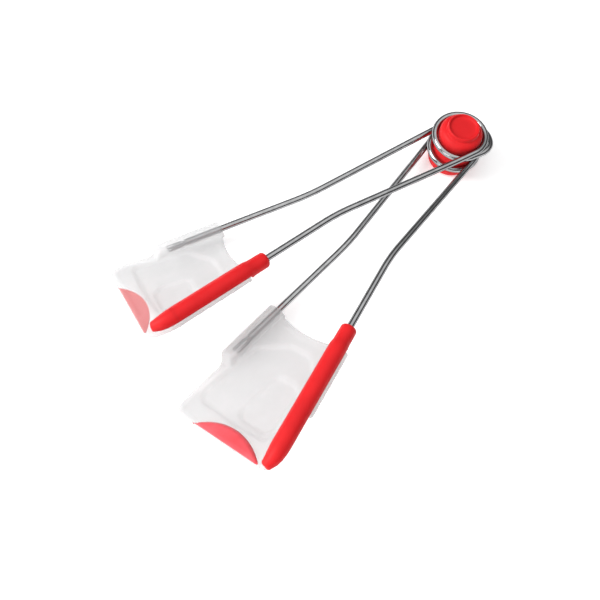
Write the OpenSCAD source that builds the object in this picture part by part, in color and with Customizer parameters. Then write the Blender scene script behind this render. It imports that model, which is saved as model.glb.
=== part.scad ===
// Spring loaded kitchen tongs: two sprung wires wound on a spool, each arm ending in a
// moulded translucent blade with a silicone edge and a silicone tip pad.
// The hinge axis is Z through the origin; the spool and both blades rest on z = 0;
// the tongs point along -Y, arm A on the -X side and arm B on the +X side.

/* [Wire] */
// Diameter of the spring steel wire
wire_d = 3.6; // [3:0.1:3.8]
// Centre-line radius of the coil round the spool
coil_r = 14.5; // [14:0.1:16]
// Axial distance between neighbouring strands of the coil
strand_pitch = 3.9; // [3.8:0.1:4.2]
// Height of the topmost strand, where arm A's upper leg leaves the coil
top_strand_z = 24.8; // [24:0.1:27]
// Height of the lowest strand, where arm B's lower leg leaves the coil
low_strand_z = 7.5; // [7:0.1:8]
// How far the outer wire stands out where it passes over the inner one
crossing_lift = 4; // [3.9:0.1:4.6]

/* [Arms] */
// Angle between the two arms at rest
opening = 22.3; // [16:0.1:26]
// Distance from the hinge axis to the bend in each leg
bend_s = 93.2; // [85:0.1:105]
// Half the distance between an arm's two legs at the bend
bend_q = 14.5; // [13:0.1:18]
// Straight level run of each leg where it leaves the coil
level_run = 14; // [12:1:20]

/* [Blade] */
// Distance from the hinge axis to the blade's datum, near its top edge
blade_s = 144; // [135:1:150]
// Tilt of the blade above the table
blade_tilt = 32.8; // [28:0.1:38]
// Length of arm A's blade from the datum to the tip edge; it nests inside arm B's
blade_len_a = 66.2; // [65:0.1:70]
// Length of arm B's blade
blade_len_b = 75.3; // [70:0.1:78]
// Reach of the blade's lower edge from its middle line
low_reach = 34.8; // [32:0.1:36]
// Reach of its upper edge
high_reach = 34; // [32:0.1:36]
// Half the distance between the two leg ends at the datum
entry_q = 22.5; // [21:0.1:23]
// Sideways spread of the legs inside the blade, as a slope
leg_spread = 0.152; // [0.13:0.002:0.16]
// Thickness of the blade's plate
plate_t = 2.2; // [1.8:0.1:2.6]
// Depth of the shallow tray pressed into the plate
tray_depth = 1.4; // [1:0.1:1.6]
// Extra depth of the well in the tray
well_depth = 1.3; // [1:0.1:1.5]

/* [Silicone] */
// Diameter of the silicone edge over the upper leg
edge_d = 9.4; // [8.6:0.1:9.8]
// How far the silicone edge of arm A reaches along its blade
edge_len_a = 61.7; // [60:0.1:65]
// How far the silicone edge of arm B reaches along its blade
edge_len_b = 73.5; // [70:0.1:74]
// Diameter of the silicone edge's collar, above the blade
collar_d = 8.4; // [7.6:0.1:8.6]
// Thickness of the tip pad
pad_t = 1.6; // [1.2:0.1:2]

/* [Spool] */
// Diameter of the barrel inside the coil
barrel_d = 24.8; // [24.4:0.1:25]
// Diameter of the rounded foot under the coil
foot_d = 26.6; // [26:0.1:30]
// Rounding of the foot's lower edge
foot_round = 2.5; // [1:0.5:4]
// Diameter of the button in the spool's upper end
button_d = 24.8; // [23:0.1:25]
// Height of the button's top
button_top = 31.1; // [30:0.1:33]
// Rounding of the button's edge
button_round = 3.3; // [2:0.1:3.5]
// Diameter of the shallow recess in the button
recess_d = 16.6; // [14:0.1:17]

/* [Hidden] */

$fn = 64;
fit_gap = 0.1;                      // between a moulded piece and what it holds
joint_gap = 0.3;                    // between wire ends on different arms
strand_gap = strand_pitch - wire_d;
wire_sides = 12;
turn_steps = 40;
steel_colour = [0.78, 0.79, 0.81];
silicone_colour = [0.87, 0.12, 0.15];
blade_colour = [0.90, 0.91, 0.92, 0.75];

arm_a_angle = -90 - opening / 2;
arm_b_angle = -90 + opening / 2;

// Heights where the four legs leave the coil
upper_a_z = top_strand_z;
upper_b_z = top_strand_z - 2 * strand_pitch;
lower_a_z = low_strand_z + 2 * strand_pitch;
lower_b_z = low_strand_z;

plate_front = -1.1;                 // front face of the plate, below the leg's centre line
plate_back = plate_front - plate_t;
// The blade's middle line is as high as makes its lower corner touch the table
blade_z = low_reach * sin(blade_tilt) - plate_back * cos(blade_tilt);
rib_start = 2.3;                    // where the socket over the lower leg begins
rib_end = 38.2;
rib_half_w = 4.2;
rib_top = 3.6;
foot_end = 44;                      // where the blade's plain lower edge begins
flange_end_a = 55;                  // end of the wider plate beside the edge on arm A
flange_end_b = 43.5;                // the same on arm B, where it stops short of the corner
edge_taper = 10;                    // length over which the silicone edge narrows at its end
edge_tip_d = 6;
collar_p = 6;
leg_end_p = 54;                     // end of the upper leg inside the silicone edge
anchor_p = 33;                      // end of the lower leg inside its socket
anchor_len = 10;
spool_bore_d = 15;

// ---- points along the wires ----

function smooth(t) = let (u = min(1, max(0, t))) u * u * (3 - 2 * u);
function unit(v) = v / norm(v);

// A point of the blade's plane in the arm's frame; p runs to the tip, q across, n outwards
function blade_point(p, q, n = 0) =
    [blade_s + p,
     q * cos(blade_tilt) - n * sin(blade_tilt),
     blade_z + q * sin(blade_tilt) + n * cos(blade_tilt)];

// Point where a line from outside touches the coil's circle; side is +1 or -1
function touch_point(from, side) =
    let (a = atan2(from[1], from[0]) + side * acos(coil_r / norm([from[0], from[1]])))
    [coil_r * cos(a), coil_r * sin(a)];

function curve(a, b, c, steps = 6) =
    [for (i = [0 : steps]) let (t = i / steps)
        (1 - t) * (1 - t) * a + 2 * t * (1 - t) * b + t * t * c];

// A leg from the coil to its end in the blade, in the arm's frame
function leg_points(side, z, end_p) =
    let (bend = blade_point(bend_s - blade_s, side * bend_q),
         entry = blade_point(0, side * entry_q),
         end = blade_point(end_p, side * (entry_q + leg_spread * end_p)),
         touch = touch_point(bend, side),
         start = [touch[0], touch[1], z],
         level_end = start + level_run * unit([bend[0] - touch[0], bend[1] - touch[1], 0]),
         soft = 9)
    concat([start, level_end],
           curve(bend + soft * unit(level_end - bend), bend, bend + soft * unit(entry - bend)),
           [entry, end]);

function touch_angle(side) =
    let (bend = blade_point(bend_s - blade_s, side * bend_q), t = touch_point(bend, side))
    atan2(t[1], t[0]);

// Angles, counter-clockwise from above, where the wires meet the coil
upper_a_angle = arm_a_angle + touch_angle(1);
upper_b_angle = arm_b_angle + touch_angle(1);
lower_a_angle = arm_a_angle + touch_angle(-1) + 360;
lower_b_angle = arm_b_angle + touch_angle(-1) + 360;

// A coil stretch from angle a0 to a1 and height z0 to z1, standing out by lift in its middle
function coil_points(a0, a1, z0, z1, lift, steps) =
    [for (i = [0 : steps]) let (u = i / steps,
                                a = a0 + u * (a1 - a0),
                                out = lift * smooth(4 * min(u, 1 - u)),
                                rise = lift > 0 ? smooth((u - 0.15) / 0.7) : u,
                                r = coil_r + out)
        [r * cos(a), r * sin(a), z0 + rise * (z1 - z0)]];

// ---- a round wire swept along points ----

function tangent(points, i) =
    let (n = len(points) - 1)
    unit(points[min(n, i + 1)] - points[max(0, i - 1)]);

function ring(centre, along, r) =
    let (side = unit(cross(along, [0, 0, 1])), up = cross(side, along))
    [for (k = [0 : wire_sides - 1]) let (a = 360 * k / wire_sides)
        centre + r * cos(a) * side + r * sin(a) * up];

module wire(points) {
    n = len(points);
    m = wire_sides;
    rings = [for (i = [0 : n - 1]) each ring(points[i], tangent(points, i), wire_d / 2)];
    sides = [for (i = [0 : n - 2], k = [0 : m - 1]) let (j = (k + 1) % m)
        [i * m + k, i * m + j, (i + 1) * m + j, (i + 1) * m + k]];
    caps = [[for (k = [m - 1 : -1 : 0]) k], [for (k = [0 : m - 1]) (n - 1) * m + k]];
    color(steel_colour) polyhedron(rings, concat(sides, caps), convexity = 10);
}

// ---- placing ----

module on_arm(angle) {
    rotate([0, 0, angle]) children();
}

module on_blade() {
    translate([blade_s, 0, blade_z]) rotate([blade_tilt, 0, 0]) children();
}

// Along the line of a leg inside the blade, with X down the leg from p
module along_leg(side, p = 0) {
    translate([p, side * (entry_q + leg_spread * p), 0])
        rotate([0, 0, side * atan(leg_spread)]) rotate([0, 90, 0]) children();
}

// ---- spool ----

module hub_spool() {
    foot_h = low_strand_z - wire_d / 2 - strand_gap;
    barrel_h = top_strand_z - wire_d;
    floor_t = 3;
    color(silicone_colour) difference() {
        union() {
            rotate_extrude() {
                square([foot_d / 2 - foot_round, foot_h]);
                translate([0, foot_round]) square([foot_d / 2, foot_h - foot_round]);
                intersection() {
                    translate([foot_d / 2 - foot_round, foot_round]) circle(foot_round);
                    square([foot_d / 2, foot_round]);
                }
            }
            cylinder(d = barrel_d, h = barrel_h);
        }
        translate([0, 0, floor_t]) cylinder(d = spool_bore_d, h = barrel_h);
    }
}

module hub_button() {
    base_z = top_strand_z - wire_d;
    plug_z = 9;
    dish_depth = 1.4;
    lip_w = 0.8;
    lip_d = recess_d + 2 * lip_w;
    lip_h = 2.6;
    lip_bevel = 0.4;
    shoulder_z = button_top - lip_h - button_round;
    color(silicone_colour) difference() {
        union() {
            translate([0, 0, base_z]) cylinder(d = button_d, h = shoulder_z - base_z);
            translate([0, 0, shoulder_z]) rotate_extrude() {
                square([button_d / 2 - button_round, button_round]);
                intersection() {
                    translate([button_d / 2 - button_round, 0]) circle(button_round);
                    square([button_d / 2, button_round]);
                }
            }
            translate([0, 0, button_top - lip_h - 1]) cylinder(d = lip_d, h = lip_h + 1 - lip_bevel);
            translate([0, 0, button_top - lip_bevel])
                cylinder(d1 = lip_d, d2 = lip_d - lip_bevel, h = lip_bevel);
            translate([0, 0, plug_z])
                cylinder(d = spool_bore_d - fit_gap, h = base_z - plug_z + 1);
        }
        translate([0, 0, button_top - dish_depth]) cylinder(d = recess_d, h = 5);
    }
}

// ---- the two wires ----

module upper_coil_turn() {
    wire(coil_points(upper_a_angle, upper_a_angle + 360, top_strand_z,
                     top_strand_z - strand_pitch, 0, turn_steps));
}

module lower_coil_turn() {
    wire(coil_points(lower_b_angle - 360, lower_b_angle, low_strand_z + strand_pitch,
                     low_strand_z, 0, turn_steps));
}

module coil_crossover() {
    gap_angle = joint_gap / coil_r * 180 / PI;
    wire(coil_points(upper_a_angle, lower_b_angle - gap_angle, top_strand_z - strand_pitch,
                     low_strand_z + strand_pitch, crossing_lift, turn_steps));
}

module inner_half_turn() {
    gap_angle = joint_gap / coil_r * 180 / PI;
    wire(coil_points(upper_b_angle + gap_angle, lower_a_angle, upper_b_z, lower_a_z, 0,
                     turn_steps / 2));
}

module upper_leg(angle, z) {
    on_arm(angle) wire(leg_points(1, z, leg_end_p));
}

module lower_leg(angle, z) {
    on_arm(angle) wire(leg_points(-1, z, anchor_p - anchor_len));
}

module upper_leg_a() { upper_leg(arm_a_angle, upper_a_z); }
module upper_leg_b() { upper_leg(arm_b_angle, upper_b_z); }
module lower_leg_a() { lower_leg(arm_a_angle, lower_a_z); }
module lower_leg_b() { lower_leg(arm_b_angle, lower_b_z); }

// The lower leg's flattened, forked end, moulded into the blade's socket
module anchor_shape(grow = 0) {
    width = 5.2 + 2 * grow;
    thick = 1.8 + 2 * grow;
    slot = 1.2;
    along_leg(-1, anchor_p - anchor_len) difference() {
        translate([-thick / 2, -width / 2, 0]) cube([thick, width, anchor_len + grow]);
        if (grow == 0) translate([-thick, -slot / 2, 3]) cube([2 * thick, slot, anchor_len]);
    }
}

module leg_anchor(angle) {
    color(steel_colour) on_arm(angle) on_blade() anchor_shape();
}

module leg_anchor_a() { leg_anchor(arm_a_angle); }
module leg_anchor_b() { leg_anchor(arm_b_angle); }

// ---- blade ----

module blade_outline(blade_len, flange_end) {
    corner = 8.5;
    side_r = 0.5;
    flange_r = 2;
    flange_reach = 0.5;             // how far the flange stands out past the silicone edge
    flange_start = 9;
    flange_in = 14;
    arc_r = 69;
    arc_low = [8.2, 6];
    difference() {
        union() {
            hull() {
                for (side = [-1, 1])
                    translate([rib_start + side_r, side * entry_q]) circle(side_r, $fn = 24);
                translate([blade_len - corner, corner - low_reach]) circle(corner, $fn = 48);
                translate([blade_len - 1 - corner, high_reach - corner])
                    circle(corner, $fn = 48);
            }
            hull() {
                for (p = [flange_start, flange_end - flange_r])
                    translate([p, entry_q + leg_spread * p + edge_d / 2 + flange_reach - flange_r])
                        circle(flange_r);
                translate([flange_start, flange_in]) circle(flange_r);
                translate([flange_end, flange_in]) circle(flange_r);
            }
            polygon([[rib_end - 4, -25], [rib_end - 4, -32], [rib_end, -32.5], [foot_end, -30.8],
                     [foot_end, -25]]);
        }
        translate([arc_low[0] - arc_r, arc_low[1]]) circle(arc_r, $fn = 180);
    }
}

// The tray and its well, pressed towards the back; grow widens them for their back skins
module tray_outline(blade_len, grow) {
    hull() {
        translate([26, 4]) circle(9 + grow);
        translate([31, -13]) circle(7 + grow);
        translate([blade_len - 17.5, -23]) circle(6 + grow);
        translate([blade_len - 17.5, 18]) circle(6 + grow);
    }
}

module well_outline(blade_len, grow) {
    hull() {
        translate([38, 6.5]) circle(4.5 + grow);
        translate([38, 13.5]) circle(4.5 + grow);
        translate([blade_len - 19, 1.5]) circle(4 + grow);
        translate([blade_len - 18, 17]) circle(4 + grow);
    }
}

// Cross-section of the socket rib; X is down into the blade, Y across it
module rib_section() {
    bevel = 1.2;
    base = 2.7;
    polygon([[base, -rib_half_w], [bevel - rib_top, -rib_half_w],
             [-rib_top, bevel - rib_half_w], [-rib_top, rib_half_w - bevel],
             [bevel - rib_top, rib_half_w], [base, rib_half_w]]);
}

module blade_body(blade_len, flange_end) {
    skin = 1.4;
    tray_floor = plate_front - tray_depth;
    well_floor = tray_floor - well_depth;
    difference() {
        union() {
            translate([0, 0, plate_back]) linear_extrude(plate_t)
                blade_outline(blade_len, flange_end);
            translate([0, 0, tray_floor - plate_t])
                linear_extrude(plate_t) tray_outline(blade_len, skin);
            translate([0, 0, well_floor - plate_t])
                linear_extrude(plate_t) well_outline(blade_len, skin);
            along_leg(-1, rib_start) linear_extrude(rib_end - rib_start) rib_section();
        }
        translate([0, 0, tray_floor]) linear_extrude(5) tray_outline(blade_len, 0);
        translate([0, 0, well_floor]) linear_extrude(5) well_outline(blade_len, 0);
        along_leg(-1, -20) cylinder(d = wire_d + fit_gap, h = anchor_p - anchor_len + 21);
        anchor_shape(fit_gap / 2);
        along_leg(1, -10) cylinder(d = wire_d + fit_gap, h = leg_end_p + 11);
    }
}

module blade(angle, blade_len, flange_end) {
    color(blade_colour) on_arm(angle) on_blade() blade_body(blade_len, flange_end);
}

module blade_a() { blade(arm_a_angle, blade_len_a, flange_end_a); }
module blade_b() { blade(arm_b_angle, blade_len_b, flange_end_b); }

// ---- silicone ----

// The edge is a full tube above the blade and a bead on the plate below it
module edge_body(edge_len) {
    start_p = -3;
    taper_p = edge_len - edge_taper;
    taper_q = entry_q + leg_spread * taper_p;
    tip_p = edge_len - edge_tip_d / 2;
    difference() {
        union() {
            along_leg(1, start_p) cylinder(d = collar_d, h = collar_p - start_p + 0.5);
            along_leg(1, collar_p) cylinder(d = edge_d, h = taper_p - collar_p);
            translate([taper_p, taper_q, 0]) sphere(d = edge_d);
            translate([taper_p, taper_q, 0]) rotate([0, 90, 0])
                cylinder(d1 = edge_d, d2 = edge_tip_d, h = tip_p - taper_p);
            translate([tip_p, taper_q, 0]) sphere(d = edge_tip_d);
        }
        translate([collar_p, 0, plate_back - 10])
            cube([edge_len, 60, plate_front - plate_back + 10]);
        along_leg(1, -10) cylinder(d = wire_d + fit_gap, h = leg_end_p + 11);
    }
}

module silicone_edge(angle, edge_len) {
    color(silicone_colour) on_arm(angle) on_blade() edge_body(edge_len);
}

module silicone_edge_a() { silicone_edge(arm_a_angle, edge_len_a); }
module silicone_edge_b() { silicone_edge(arm_b_angle, edge_len_b); }

// Pad at the tip, bounded by an arc; it lies on the blade's gripping face, which is the back
// of the plate on arm A and its front on arm B
module pad_outline(blade_len) {
    arc_r = 37.4;
    arc_centre = [blade_len - 9 + arc_r, 5];
    intersection() {
        offset(-1) blade_outline(blade_len, flange_end_b);
        translate(arc_centre) circle(arc_r, $fn = 120);
    }
}

module tip_pad_a() {
    color(silicone_colour) on_arm(arm_a_angle) on_blade()
        translate([0, 0, plate_back - pad_t]) linear_extrude(pad_t) pad_outline(blade_len_a);
}

module tip_pad_b() {
    color(silicone_colour) on_arm(arm_b_angle) on_blade()
        translate([0, 0, plate_front]) linear_extrude(pad_t) pad_outline(blade_len_b);
}

hub_spool();
hub_button();
upper_coil_turn();
lower_coil_turn();
coil_crossover();
inner_half_turn();
upper_leg_a();
lower_leg_a();
upper_leg_b();
lower_leg_b();
blade_a();
blade_b();
silicone_edge_a();
silicone_edge_b();
tip_pad_a();
tip_pad_b();
leg_anchor_a();
leg_anchor_b();
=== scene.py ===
# Spring loaded kitchen tongs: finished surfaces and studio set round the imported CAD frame.
import math
import bpy
import bmesh
import numpy as np
from mathutils import Matrix, Vector
from mathutils.geometry import delaunay_2d_cdt


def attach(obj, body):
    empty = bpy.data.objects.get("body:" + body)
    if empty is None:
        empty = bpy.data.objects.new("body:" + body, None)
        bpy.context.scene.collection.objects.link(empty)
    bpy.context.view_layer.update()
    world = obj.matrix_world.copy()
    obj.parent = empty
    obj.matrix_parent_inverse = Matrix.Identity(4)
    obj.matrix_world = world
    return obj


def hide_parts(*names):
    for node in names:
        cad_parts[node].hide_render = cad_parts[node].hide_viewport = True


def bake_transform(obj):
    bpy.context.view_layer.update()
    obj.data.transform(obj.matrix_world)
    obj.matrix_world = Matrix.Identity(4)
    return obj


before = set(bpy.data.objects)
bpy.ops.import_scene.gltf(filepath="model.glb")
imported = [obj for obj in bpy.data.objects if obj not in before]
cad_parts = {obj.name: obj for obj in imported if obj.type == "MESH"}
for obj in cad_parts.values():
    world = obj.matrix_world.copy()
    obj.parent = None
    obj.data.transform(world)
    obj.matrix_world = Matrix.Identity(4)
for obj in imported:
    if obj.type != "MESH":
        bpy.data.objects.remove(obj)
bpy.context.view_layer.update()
MM = 0.001

# ------------------------------------------------------------------ sizes, as in the CAD (mm)
WIRE_R = 1.8
COIL_R = 14.5
PITCH = 3.9
TOP_Z = 24.8
LOW_Z = 7.5
LIFT = 4.0
OPENING = 22.3
BEND_S, BEND_Q = 93.2, 14.5
LEVEL_RUN = 14.0
BLADE_S = 144.0
TILT = math.radians(32.8)
BLADE_LEN = {"arm_a": 66.2, "arm_b": 75.3}
EDGE_LEN = {"arm_a": 61.7, "arm_b": 73.5}
FLANGE_END = {"arm_a": 55.0, "arm_b": 43.5}
LOW_REACH = 34.8
ENTRY_Q, SPREAD = 22.5, 0.152
FRONT, BACK = -1.1, -3.3
BLADE_Z = LOW_REACH * math.sin(TILT) - BACK * math.cos(TILT)
ARM = {"arm_a": math.radians(-90 - OPENING / 2), "arm_b": math.radians(-90 + OPENING / 2)}


def blade_point(p, q, n=0.0):
    """A point of the blade in the arm's own frame: p to the tip, q across, n outwards."""
    return np.array([BLADE_S + p,
                     q * math.cos(TILT) - n * math.sin(TILT),
                     BLADE_Z + q * math.sin(TILT) + n * math.cos(TILT)])


def turned(v, angle):
    c, s = math.cos(angle), math.sin(angle)
    return np.array([c * v[0] - s * v[1], s * v[0] + c * v[1], v[2]])


def on_arm(arm, p, q, n=0.0):
    return turned(blade_point(p, q, n), ARM[arm])


def smooth(t):
    t = min(1.0, max(0.0, t))
    return t * t * (3 - 2 * t)


def unit(v):
    return v / np.linalg.norm(v)


# ------------------------------------------------------------------ mesh helpers
def make_object(name, verts, faces, material, smooth_angle=40):
    mesh = bpy.data.meshes.new(name)
    mesh.from_pydata([tuple(float(c) * MM for c in v) for v in verts], [], [tuple(f) for f in faces])
    mesh.update()
    obj = bpy.data.objects.new(name, mesh)
    bpy.context.scene.collection.objects.link(obj)
    bm = bmesh.new()
    bm.from_mesh(mesh)
    bmesh.ops.remove_doubles(bm, verts=bm.verts, dist=1e-7)
    bmesh.ops.recalc_face_normals(bm, faces=bm.faces)
    bm.to_mesh(mesh)
    bm.free()
    shade(mesh, smooth_angle)
    mesh.materials.append(material)
    return obj


def shade(mesh, angle):
    mesh.polygons.foreach_set("use_smooth", [True] * len(mesh.polygons))
    bm = bmesh.new()
    bm.from_mesh(mesh)
    for e in bm.edges:
        if len(e.link_faces) == 2:
            e.smooth = e.calc_face_angle(0.0) < math.radians(angle)
    bm.to_mesh(mesh)
    bm.free()


def sweep(points, radius, sides=20, cap_round=0.0):
    """A round tube along points; radius is a number or one per point."""
    pts = [np.array(p, float) for p in points]
    radii = list(radius) if hasattr(radius, "__len__") else [radius] * len(pts)
    n = len(pts)
    tangents = [unit(pts[min(n - 1, i + 1)] - pts[max(0, i - 1)]) for i in range(n)]
    if cap_round > 0:
        steps = 4
        rings = []
        for k in range(steps, 0, -1):
            a = math.pi / 2 * k / steps
            rings.append((pts[0] - tangents[0] * cap_round * math.sin(a), tangents[0],
                          radii[0] - cap_round * (1 - math.cos(a))))
        rings += [(pts[i], tangents[i], radii[i]) for i in range(n)]
        for k in range(1, steps + 1):
            a = math.pi / 2 * k / steps
            rings.append((pts[-1] + tangents[-1] * cap_round * math.sin(a), tangents[-1],
                          radii[-1] - cap_round * (1 - math.cos(a))))
    else:
        rings = [(pts[i], tangents[i], radii[i]) for i in range(n)]
    side = unit(np.cross(rings[0][1], [0.0, 0.0, 1.0]))
    verts, faces = [], []
    for c, t, r in rings:
        side = unit(side - t * np.dot(side, t))
        up = np.cross(side, t)
        for k in range(sides):
            a = 2 * math.pi * k / sides
            verts.append(c + max(r, 0.02) * (math.cos(a) * side + math.sin(a) * up))
    m = len(rings)
    for i in range(m - 1):
        for k in range(sides):
            j = (k + 1) % sides
            faces.append((i * sides + k, i * sides + j, (i + 1) * sides + j, (i + 1) * sides + k))
    faces.append(tuple(range(sides - 1, -1, -1)))
    faces.append(tuple((m - 1) * sides + k for k in range(sides)))
    return verts, faces


def lathe(profile, steps=96):
    """A solid of revolution about Z from (radius, height) pairs, the ends on the axis."""
    verts, faces, rings = [], [], []
    for r, z in profile:
        if r < 1e-6:
            verts.append((0, 0, z))
            rings.append([len(verts) - 1] * steps)
        else:
            first = len(verts)
            verts += [(r * math.cos(2 * math.pi * k / steps), r * math.sin(2 * math.pi * k / steps), z)
                      for k in range(steps)]
            rings.append([first + k for k in range(steps)])
    for a, b in zip(rings, rings[1:]):
        for k in range(steps):
            j = (k + 1) % steps
            quad = []
            for v in (a[k], a[j], b[j], b[k]):
                if v not in quad:
                    quad.append(v)
            if len(quad) > 2:
                faces.append(tuple(quad))
    return verts, faces


def arc(cr, cz, r, a0, a1, steps=8):
    return [(cr + r * math.cos(math.radians(a0 + (a1 - a0) * k / steps)),
             cz + r * math.sin(math.radians(a0 + (a1 - a0) * k / steps))) for k in range(steps + 1)]


def fillet(corners, step=1.0):
    """A closed outline from (p, q, radius) corners, rounded and resampled."""
    out = []
    n = len(corners)
    for i in range(n):
        a, b, c = (np.array(corners[(i + k) % n][:2], float) for k in (-1, 0, 1))
        r = corners[i][2]
        u, v = unit(a - b), unit(c - b)
        half = math.acos(max(-1.0, min(1.0, float(np.dot(u, v))))) / 2
        if r <= 0 or half > math.radians(88):
            out.append(b)
            continue
        d = min(r / math.tan(half), 0.49 * min(np.linalg.norm(a - b), np.linalg.norm(c - b)))
        r = d * math.tan(half)
        centre = b + unit(u + v) * (r / math.sin(half))
        s, e = b + u * d - centre, b + v * d - centre
        a0, a1 = math.atan2(s[1], s[0]), math.atan2(e[1], e[0])
        sweep_a = (a1 - a0 + math.pi) % (2 * math.pi) - math.pi
        k = max(2, int(abs(sweep_a) * r / (0.6 * step)))
        out += [centre + r * np.array([math.cos(a0 + sweep_a * t / k), math.sin(a0 + sweep_a * t / k)])
                for t in range(k + 1)]
    dense = []
    for a, b in zip(out, out[1:] + out[:1]):
        k = max(1, int(np.linalg.norm(b - a) / step))
        dense += [a + (b - a) * t / k for t in range(k)]
    return np.array(dense)


def signed_distance(points, outline):
    """Distance to a closed outline, negative inside."""
    p = np.asarray(points, float)[:, None, :]
    a = outline[None, :, :]
    b = np.roll(outline, -1, axis=0)[None, :, :]
    d = b - a
    t = np.clip(((p - a) * d).sum(-1) / np.maximum((d * d).sum(-1), 1e-12), 0, 1)
    dist = np.sqrt((((a + t[..., None] * d) - p) ** 2).sum(-1)).min(1)
    ay, by, py = a[..., 1], b[..., 1], p[..., 1]
    cross = ((ay > py) != (by > py)) & (p[..., 0] < (b[..., 0] - a[..., 0]) * (py - ay)
                                        / np.where(by == ay, 1e-12, by - ay) + a[..., 0])
    inside = cross.sum(1) % 2 == 1
    return np.where(inside, -dist, dist)


def slab(outline, top, bottom, spacing=1.2, place=None, edge=0.5):
    """A closed plate over an outline; top and bottom give n for arrays of points and depth."""
    lo, hi = outline.min(0), outline.max(0)
    gp, gq = np.meshgrid(np.arange(lo[0], hi[0], spacing), np.arange(lo[1], hi[1], spacing))
    gq = gq + (np.arange(gq.shape[1]) % 2)[None, :] * spacing / 2
    grid = np.c_[gp.ravel(), gq.ravel()]
    grid = grid[signed_distance(grid, outline) < -0.7 * spacing]
    coords = [Vector((float(x), float(y))) for x, y in np.vstack([outline, grid])]
    m = len(outline)
    verts2, _, faces2, _, _, _ = delaunay_2d_cdt(coords, [], [list(range(m))], 1, 1e-5)
    flat = np.array([[v.x, v.y] for v in verts2])
    depth = -signed_distance(flat, outline)
    n_top, n_bot = top(flat, depth), bottom(flat, depth)
    count = len(flat)
    verts = [place(p, q, n) for (p, q), n in zip(flat, n_top)]
    verts += [place(p, q, n) for (p, q), n in zip(flat, n_bot)]
    faces = [tuple(f) for f in faces2] + [tuple(count + k for k in reversed(f)) for f in faces2]
    edges = {}
    for f in faces2:
        for a, b in zip(f, f[1:] + f[:1]):
            edges[(a, b)] = edges.get((a, b), 0) + 1
    for a, b in edges:
        if (b, a) not in edges:
            faces.append((b, a, count + a, count + b))
    return verts, faces


# ------------------------------------------------------------------ materials
def material(name):
    m = bpy.data.materials.new(name)
    m.use_nodes = True
    nodes, links = m.node_tree.nodes, m.node_tree.links
    shader = next(n for n in nodes if n.type == "BSDF_PRINCIPLED")
    coord = nodes.new("ShaderNodeTexCoord")
    return m, nodes, links, shader, coord


def noise(nodes, links, vector, scale, detail=4.0, rough=0.55):
    n = nodes.new("ShaderNodeTexNoise")
    n.inputs["Scale"].default_value = scale
    n.inputs["Detail"].default_value = detail
    n.inputs["Roughness"].default_value = rough
    links.new(vector, n.inputs["Vector"])
    return n.outputs["Fac"]


def ramp(nodes, links, value, stops):
    r = nodes.new("ShaderNodeValToRGB")
    while len(r.color_ramp.elements) < len(stops):
        r.color_ramp.elements.new(0.5)
    for e, (pos, col) in zip(r.color_ramp.elements, stops):
        e.position = pos
        e.color = (*col, 1.0)
    links.new(value, r.inputs["Fac"])
    return r.outputs["Color"]


def spread(nodes, links, value, low, high):
    r = nodes.new("ShaderNodeMapRange")
    r.inputs["To Min"].default_value = low
    r.inputs["To Max"].default_value = high
    links.new(value, r.inputs["Value"])
    return r.outputs["Result"]


def bumped(nodes, links, shader, height, strength, distance, base=None):
    b = nodes.new("ShaderNodeBump")
    b.inputs["Strength"].default_value = strength
    b.inputs["Distance"].default_value = distance
    links.new(height, b.inputs["Height"])
    if base is not None:
        links.new(base, b.inputs["Normal"])
    links.new(b.outputs["Normal"], shader.inputs["Normal"])
    return b.outputs["Normal"]


def silicone(name, light, dark, sheen=0.04):
    m, nodes, links, shader, coord = material(name)
    tone = noise(nodes, links, coord.outputs["Object"], 90.0, 5.0)
    links.new(ramp(nodes, links, tone, [(0.32, dark), (0.68, light)]), shader.inputs["Base Color"])
    grain = noise(nodes, links, coord.outputs["Object"], 2600.0, 3.0)
    links.new(spread(nodes, links, grain, 0.46, 0.62), shader.inputs["Roughness"])
    swell = noise(nodes, links, coord.outputs["Object"], 320.0, 2.0)
    first = bumped(nodes, links, shader, swell, 0.12, 0.00025)
    bumped(nodes, links, shader, grain, 0.18, 0.00006, first)
    shader.inputs["Specular IOR Level"].default_value = 0.25
    shader.inputs["Sheen Weight"].default_value = sheen
    shader.inputs["Sheen Roughness"].default_value = 0.5
    shader.inputs["Subsurface Weight"].default_value = 0.08
    shader.inputs["Subsurface Radius"].default_value = (0.9, 0.2, 0.15)
    shader.inputs["Subsurface Scale"].default_value = 0.0012
    return m


def steel(name):
    m, nodes, links, shader, coord = material(name)
    shader.inputs["Metallic"].default_value = 1.0
    shader.inputs["Specular Tint"].default_value = (0.3, 0.3, 0.31, 1.0)
    tone = noise(nodes, links, coord.outputs["Object"], 260.0, 4.0)
    links.new(ramp(nodes, links, tone, [(0.3, (0.34, 0.343, 0.347)), (0.7, (0.45, 0.453, 0.457))]),
              shader.inputs["Base Color"])
    mapping = nodes.new("ShaderNodeMapping")
    mapping.inputs["Scale"].default_value = (1.0, 0.12, 1.0)
    links.new(coord.outputs["Object"], mapping.inputs["Vector"])
    lines = noise(nodes, links, mapping.outputs["Vector"], 1500.0, 3.0, 0.6)
    links.new(spread(nodes, links, lines, 0.09, 0.16), shader.inputs["Roughness"])
    bumped(nodes, links, shader, lines, 0.02, 0.00001)
    return m


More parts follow.
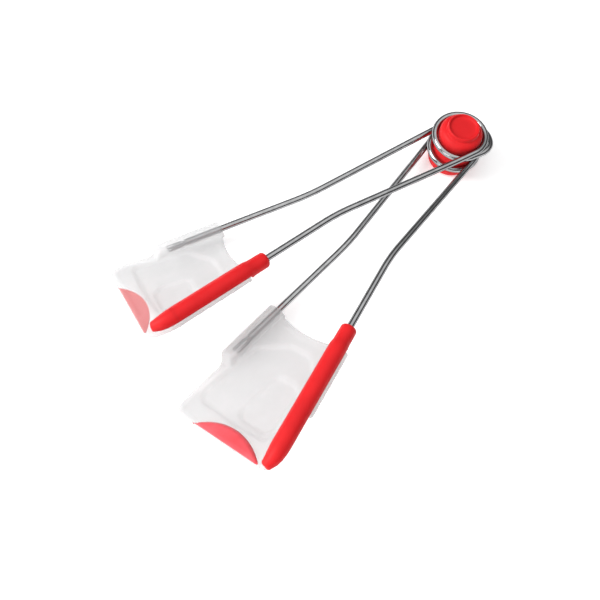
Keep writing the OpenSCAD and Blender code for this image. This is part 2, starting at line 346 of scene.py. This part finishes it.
def nylon(name):
    m, nodes, links, shader, coord = material(name)
    cloud = noise(nodes, links, coord.outputs["Object"], 55.0, 5.0)
    links.new(ramp(nodes, links, cloud, [(0.3, (0.50, 0.502, 0.504)), (0.7, (0.55, 0.551, 0.553))]),
              shader.inputs["Base Color"])
    grain = noise(nodes, links, coord.outputs["Object"], 1800.0, 3.0)
    links.new(spread(nodes, links, grain, 0.42, 0.55), shader.inputs["Roughness"])
    flow = noise(nodes, links, coord.outputs["Object"], 140.0, 2.0)
    first = bumped(nodes, links, shader, flow, 0.04, 0.0003)
    bumped(nodes, links, shader, grain, 0.06, 0.00002, first)
    shader.inputs["Alpha"].default_value = 0.40
    shader.inputs["Specular IOR Level"].default_value = 0.22
    return m


RED = silicone("silicone_red", (0.70, 0.009, 0.012), (0.62, 0.006, 0.009))
PAD = {"arm_a": silicone("silicone_pad_behind", (0.92, 0.006, 0.012), (0.84, 0.004, 0.008), 0.0),
       "arm_b": silicone("silicone_pad_front", (0.72, 0.085, 0.105), (0.64, 0.045, 0.058), 0.20)}
STEEL = steel("spring_wire")
NYLON = nylon("milky_nylon")

# ------------------------------------------------------------------ hub
spool_foot_h = LOW_Z - WIRE_R - (PITCH - 2 * WIRE_R)
spool_profile = ([(0, 0.0), (10.0, 0.0), (10.6, 0.05)] + arc(10.8, 2.5, 2.5, -85, 0, 10)
                 + [(13.3, spool_foot_h - 0.4)] + arc(12.9, spool_foot_h - 0.4, 0.4, 0, 90, 4)
                 + [(12.6, spool_foot_h), (12.4, spool_foot_h + 0.2), (12.4, TOP_Z - 4.0),
                    (12.0, TOP_Z - 3.65), (0, TOP_Z - 3.65)])
hub_spool = make_object("spool_moulding", *lathe(spool_profile), RED, 60)
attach(hub_spool, "arm_a")
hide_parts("hub_spool")

button_profile = ([(0, TOP_Z - 3.55), (11.9, TOP_Z - 3.55)] + arc(12.0, TOP_Z - 3.2, 0.4, -90, 0, 4)
                  + [(12.4, 24.9)] + arc(9.1, 25.2, 3.3, 3, 78, 12) + arc(9.85, 29.05, 0.6, 260, 190, 6)
                  + [(9.15, 30.2)] + arc(8.6, 30.55, 0.55, 15, 165, 10)
                  + [(7.8, 30.1), (7.2, 29.87), (6.2, 29.75), (4.5, 29.7), (0, 29.7)])
hub_button = make_object("button_moulding", *lathe(button_profile), RED, 60)
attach(hub_button, "arm_a")
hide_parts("hub_button")


# ------------------------------------------------------------------ wires
def touch_point(bend, side):
    a = math.atan2(bend[1], bend[0]) + side * math.acos(COIL_R / math.hypot(bend[0], bend[1]))
    return np.array([COIL_R * math.cos(a), COIL_R * math.sin(a), 0.0]), a


def leg(arm, side, z, end_p):
    """Points of one leg from its touch point on the coil to its end, in the row frame."""
    bend = blade_point(BEND_S - BLADE_S, side * BEND_Q)
    entry = blade_point(0, side * ENTRY_Q)
    end = blade_point(end_p, side * (ENTRY_Q + SPREAD * end_p))
    touch, a = touch_point(bend, side)
    start = touch + np.array([0, 0, z])
    level = start + LEVEL_RUN * unit(np.array([bend[0] - touch[0], bend[1] - touch[1], 0]))
    line = [start + (level - start) * t for t in (0.0, 0.3, 0.6)]
    line += rounded(start, level, bend, 6.0)
    line += [level + (bend - level) * t for t in np.linspace(0.12, 0.85, 12)]
    line += rounded(level, bend, entry, 9.0, 10)
    line += [bend + (entry - bend) * t for t in np.linspace(0.22, 0.9, 8)]
    line += rounded(bend, entry, end, 4.0)
    line += [entry + (end - entry) * t for t in (0.5, 1.0)]
    return [turned(v, ARM[arm]) for v in line], a + ARM[arm]


def rounded(a, b, c, reach, steps=6):
    s, e = b + reach * unit(a - b), b + reach * unit(c - b)
    return [(1 - t) ** 2 * s + 2 * t * (1 - t) * b + t * t * e for t in np.linspace(0, 1, steps + 1)]


def coil(a0, a1, z0, z1, lift, steps):
    out = []
    for i in range(steps + 1):
        u = i / steps
        a = a0 + u * (a1 - a0)
        r = COIL_R + lift * smooth(4 * min(u, 1 - u))
        z = z0 + (smooth((u - 0.15) / 0.7) if lift else u) * (z1 - z0)
        out.append(np.array([r * math.cos(a), r * math.sin(a), z]))
    return out


TURN = 2 * math.pi
UPPER_END = 56.0
LOWER_END = 23.0
upper_a, angle_ua = leg("arm_a", 1, TOP_Z, UPPER_END)
upper_b, angle_ub = leg("arm_b", 1, TOP_Z - 2 * PITCH, UPPER_END)
lower_a, angle_la = leg("arm_a", -1, LOW_Z + 2 * PITCH, LOWER_END)
lower_b, angle_lb = leg("arm_b", -1, LOW_Z, LOWER_END)
angle_la += TURN
angle_lb += TURN

wire_one = (upper_a[::-1]
            + coil(angle_ua, angle_ua + TURN, TOP_Z, TOP_Z - PITCH, 0, 96)[1:]
            + coil(angle_ua, angle_lb, TOP_Z - PITCH, LOW_Z + PITCH, LIFT, 72)[1:]
            + coil(angle_lb - TURN, angle_lb, LOW_Z + PITCH, LOW_Z, 0, 96)[1:]
            + lower_b[1:])
wire_two = (upper_b[::-1]
            + coil(angle_ub, angle_la, TOP_Z - 2 * PITCH, LOW_Z + 2 * PITCH, 0, 52)[1:]
            + lower_a[1:])
first_wire = make_object("spring_wire_one", *sweep(wire_one, WIRE_R, 24), STEEL, 60)
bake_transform(first_wire)
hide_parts("upper_leg_a", "upper_coil_turn", "coil_crossover", "lower_coil_turn", "lower_leg_b")
second_wire = make_object("spring_wire_two", *sweep(wire_two, WIRE_R, 24), STEEL, 60)
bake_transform(second_wire)
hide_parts("upper_leg_b", "inner_half_turn", "lower_leg_a")


# ------------------------------------------------------------------ blades
def leg_q(p, side):
    return side * (ENTRY_Q + SPREAD * p)


def blade_outline(reach, flange_end):
    arc_pts = []
    for q in np.linspace(-18.4, 22.6, 15):
        arc_pts.append((8.2 - 69 + math.sqrt(69 ** 2 - (q - 6) ** 2), q, 0.0))
    flange_q = leg_q(flange_end, 1) + 5.1
    corners = [(2.4, -27.0, 1.2), (38.4, -32.6, 1.2), (44.0, -31.0, 1.6), (reach - 10.5, -34.6, 6.0),
               (reach - 0.1, -35.0, 9.0), (reach - 0.4, 0.0, 0.0), (reach - 0.9, 34.1, 10.0)]
    if flange_end < reach - 16:
        corners += [(reach - 13, 33.4, 3.0), (flange_end + 0.4, flange_q - 3.2, 0.5),
                    (flange_end, flange_q, 1.6)]
    else:
        corners += [(flange_end - 3, flange_q - 0.2, 9.0)]
    return corners + [(7.4, 28.9, 1.2), (7.0, 23.2, 0.8)] + arc_pts[::-1] + [(2.4, -18.6, 0.8)]


def tray_outline(reach):
    return fillet([(16.5, -1, 10), (17.2, 13, 7), (24, 19.0, 6), (reach - 12, 24.5, 6),
                   (reach - 10.5, 2, 0), (reach - 11.5, -29, 6), (46, -25.5, 3), (25, -19, 8)], 1.5)


def well_outline(reach):
    return fillet([(32.6, 3.0, 4), (33.6, 18.5, 5), (reach - 14, 21, 5), (reach - 14.5, -3.0, 5)], 1.5)


def soft_step(depth, width):
    t = np.clip(depth / width + 0.5, 0, 1)
    return t * t * (3 - 2 * t)


def pressed(pts, reach, tray_w, well_w):
    """How deep the tray and its well are at each point."""
    return (1.4 * soft_step(-signed_distance(pts, tray_outline(reach)), tray_w)
            + 1.3 * soft_step(-signed_distance(pts, well_outline(reach)), well_w))


def blade_top(reach):
    def surface(pts, depth):
        rim = np.exp(-((depth - 1.6) / 1.0) ** 2) * 0.45
        open_side = (pts[:, 1] < 15) & (pts[:, 0] > 8)
        return FRONT - pressed(pts, reach, 2.6, 2.4) + rim * open_side
    return surface


def blade_bottom(reach):
    def surface(pts, depth):
        return BACK - pressed(pts, reach, 3.4, 3.4)
    return surface


def rib_mesh(place):
    section = [(2.8, -4.2), (-2.3, -4.2), (-3.2, -3.7), (-3.6, -2.8), (-3.6, 2.8), (-3.2, 3.7),
               (-2.3, 4.2), (2.8, 4.2)]
    rings = [(2.35, 0.88, 0), (2.7, 0.97, 0), (3.6, 1.0, 0),
             (36.6, 1.0, 0), (37.6, 0.97, 0.7), (38.0, 0.88, 1)]
    verts, faces = [], []
    m = len(section)
    for p, k, run in rings:
        for x, y in section:
            verts.append(place(p + run * 0.7 * (x + 3.6), leg_q(p, -1) + y * k, -x * (k if x < 0 else 1)))
    for i in range(len(rings) - 1):
        for a in range(m):
            b = (a + 1) % m
            faces.append((i * m + a, i * m + b, (i + 1) * m + b, (i + 1) * m + a))
    faces.append(tuple(range(m)))
    faces.append(tuple((len(rings) - 1) * m + k for k in range(m)))
    return verts, faces


def merged_by_voxels(obj, others, size, rounds):
    """Joins closed meshes into one skin with soft moulded corners."""
    for o in others:
        bm = bmesh.new()
        bm.from_mesh(obj.data)
        bm.from_mesh(o.data)
        bm.to_mesh(obj.data)
        bm.free()
        bpy.data.objects.remove(o)
    mod = obj.modifiers.new("merge", "REMESH")
    mod.mode = "VOXEL"
    mod.voxel_size = size * MM
    mod.adaptivity = 0.0
    soften = obj.modifiers.new("soften", "SMOOTH")
    soften.factor = 0.5
    soften.iterations = rounds
    graph = bpy.context.evaluated_depsgraph_get()
    done = bpy.data.meshes.new_from_object(obj.evaluated_get(graph))
    obj.modifiers.clear()
    obj.data = done
    done.polygons.foreach_set("use_smooth", [True] * len(done.polygons))
    return obj


def pad_outline(reach):
    arc_r, arc_p = 37.4, reach - 9 + 37.4
    pts = []
    for q in np.linspace(-19.2, 26.8, 33):
        pts.append((arc_p - math.sqrt(arc_r ** 2 - (q - 5) ** 2), q, 0.0))
    return fillet(pts + [(reach - 1.2, 26.6, 0.8), (reach - 0.7, -19.6, 0.8)], 1.0)


def edge_path(edge_len):
    taper_p = edge_len - 10.0
    taper_q = leg_q(taper_p, 1)
    line = [(p, leg_q(p, 1)) for p in (-3.0, 0.0, 2.5, 5.0, 6.2, 7.5, 12, 20, 30, 40, 50, taper_p - 3)]
    line += [(taper_p, taper_q - 0.05), (taper_p + 3, taper_q + 0.2), (taper_p + 5.5, taper_q + 0.1),
             (taper_p + 7.9, taper_q - 0.4)]
    radii = [4.15, 4.2, 4.2, 4.25, 4.5, 4.7, 4.7, 4.7, 4.7, 4.7, 4.7, 4.7, 4.6, 4.25, 3.7, 2.9]
    return line, radii


for arm, tag, pad_side in (("arm_a", "a", -1), ("arm_b", "b", 1)):
    def place(p, q, n, arm=arm):
        return on_arm(arm, p, q, n)

    reach = BLADE_LEN[arm]
    outline = fillet(blade_outline(reach, FLANGE_END[arm]), 1.0)
    plate = make_object("blade_moulding_" + tag,
                        *slab(outline, blade_top(reach), blade_bottom(reach), 1.2, place), NYLON)
    rib = make_object("rib_" + tag, *rib_mesh(place), NYLON)
    plate = merged_by_voxels(plate, [rib], 0.5, 5)
    if not plate.data.materials:
        plate.data.materials.append(NYLON)
    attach(plate, arm)
    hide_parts("blade_" + tag)

    line, radii = edge_path(EDGE_LEN[arm])
    verts, faces = sweep([np.array([p, q, 0.0]) for p, q in line], radii, 32, 1.6)
    shaped = []
    for p, q, n in verts:
        if p > 6.6:
            n = max(n, FRONT - 0.15)
        shaped.append(place(p, q, n))
    edge = make_object("edge_sleeve_" + tag, shaped, faces, RED, 50)
    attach(edge, arm)
    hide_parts("silicone_edge_" + tag)

    def pad_high(pts, depth, side=pad_side):
        lift = 1.3 * np.sqrt(np.clip(depth / 1.4, 0, 1)) + 0.2
        return (FRONT + lift) if side > 0 else (np.full(len(pts), BACK + 0.2))

    def pad_low(pts, depth, side=pad_side):
        lift = 1.3 * np.sqrt(np.clip(depth / 1.4, 0, 1)) + 0.2
        return np.full(len(pts), FRONT - 0.2) if side > 0 else (BACK - lift)

    pad = make_object("tip_grip_" + tag,
                      *slab(pad_outline(reach), pad_high, pad_low, 0.9, place), PAD[arm], 50)
    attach(pad, arm)
    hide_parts("tip_pad_" + tag)

    bits_v, bits_f = [], []
    for off in (-1.65, 1.65):
        section = [(0.75 * math.cos(a), 0.9 * math.sin(a)) for a in np.linspace(0, 2 * math.pi, 13)[:-1]]
        rings = [(22.0, 0.0, 0.8), (24.2, 0.5, 1.0), (25.6, 1.0, 1.0), (32.6, 1.0, 1.0), (33.1, 1.0, 0.7)]
        base = len(bits_v)
        for p, k, s in rings:
            for x, y in section:
                q = leg_q(p, -1) + off * k + y * 1.15 * s
                bits_v.append(place(p, q, x * 1.15 * s))
        m = len(section)
        for i in range(len(rings) - 1):
            for a in range(m):
                b = (a + 1) % m
                bits_f.append((base + i * m + a, base + i * m + b,
                               base + (i + 1) * m + b, base + (i + 1) * m + a))
        bits_f.append(tuple(base + k for k in range(m - 1, -1, -1)))
        bits_f.append(tuple(base + (len(rings) - 1) * m + k for k in range(m)))
    fork = make_object("wire_fork_" + tag, bits_v, bits_f, STEEL, 60)
    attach(fork, arm)
    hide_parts("leg_anchor_" + tag)

# ------------------------------------------------------------------ studio
floor_m, nodes, links, shader, coord = material("studio_floor")
dust = noise(nodes, links, coord.outputs["Object"], 40.0, 3.0)
links.new(ramp(nodes, links, dust, [(0.3, (0.93, 0.93, 0.93)), (0.7, (0.95, 0.95, 0.95))]),
          shader.inputs["Base Color"])
shader.inputs["Roughness"].default_value = 0.9
shader.inputs["Specular IOR Level"].default_value = 0.1
shader.inputs["Emission Color"].default_value = (1.0, 1.0, 1.0, 1.0)
shader.inputs["Emission Strength"].default_value = 0.3
floor_mesh = bpy.data.meshes.new("studio_floor")
floor_mesh.from_pydata([(-3, -3, 0), (3, -3, 0), (3, 3, 0), (-3, 3, 0)], [], [(0, 1, 2, 3)])
floor = bpy.data.objects.new("studio_floor", floor_mesh)
floor.location = (0, 0, -0.0002)
floor_mesh.materials.append(floor_m)
bpy.context.scene.collection.objects.link(floor)

world = bpy.data.worlds.new("studio_world")
bpy.context.scene.world = world
world.use_nodes = True
sky_nodes, sky_links = world.node_tree.nodes, world.node_tree.links
sky_coord = sky_nodes.new("ShaderNodeTexCoord")
sky_axes = sky_nodes.new("ShaderNodeSeparateXYZ")
sky_links.new(sky_coord.outputs["Generated"], sky_axes.inputs["Vector"])
sky = ramp(sky_nodes, sky_links, sky_axes.outputs["Z"],
           [(0.0, (0.06, 0.06, 0.061)), (0.45, (0.08, 0.08, 0.082)), (0.60, (0.15, 0.15, 0.153)),
            (0.80, (0.85, 0.85, 0.853)), (1.0, (1, 1, 1))])
sky_links.new(sky, sky_nodes["Background"].inputs["Color"])
sky_nodes["Background"].inputs["Strength"].default_value = 1.3

VIEW = Vector((-0.22934, 0.29098, -0.92883)).normalized()
UP = Vector((-0.70982, 0.60295, 0.36415)).normalized()
RIGHT = VIEW.cross(UP).normalized()
UP = RIGHT.cross(VIEW).normalized()


def area_light(name, offset, target, size, power, colour=(1, 1, 1)):
    data = bpy.data.lights.new(name, "AREA")
    data.shape = "DISK"
    data.size = size
    data.energy = power
    data.color = colour
    obj = bpy.data.objects.new(name, data)
    obj.location = offset
    aim = (Vector(target) - Vector(offset)).normalized()
    obj.rotation_euler = aim.to_track_quat("-Z", "Y").to_euler()
    bpy.context.scene.collection.objects.link(obj)


middle = Vector((0.0, -0.10, 0.02))
area_light("key_softbox", middle + RIGHT * -0.75 + UP * 0.3 + VIEW * -0.65, middle, 0.6, 9)
area_light("fill_softbox", middle + RIGHT * -0.45 + UP * -0.6 + VIEW * -0.6, middle, 0.8, 4.0)

camera_data = bpy.data.cameras.new("camera")
camera_data.lens = 37.8
camera_data.sensor_width = 36.0
camera_data.clip_start = 0.01
camera = bpy.data.objects.new("camera", camera_data)
rot = Matrix((RIGHT, UP, -VIEW)).transposed()
camera.matrix_world = Matrix.Translation(Vector((0.08953, -0.23225, 0.32069))) @ rot.to_4x4()
bpy.context.scene.collection.objects.link(camera)
bpy.context.scene.camera = camera
bpy.context.scene.view_settings.view_transform = "Standard"
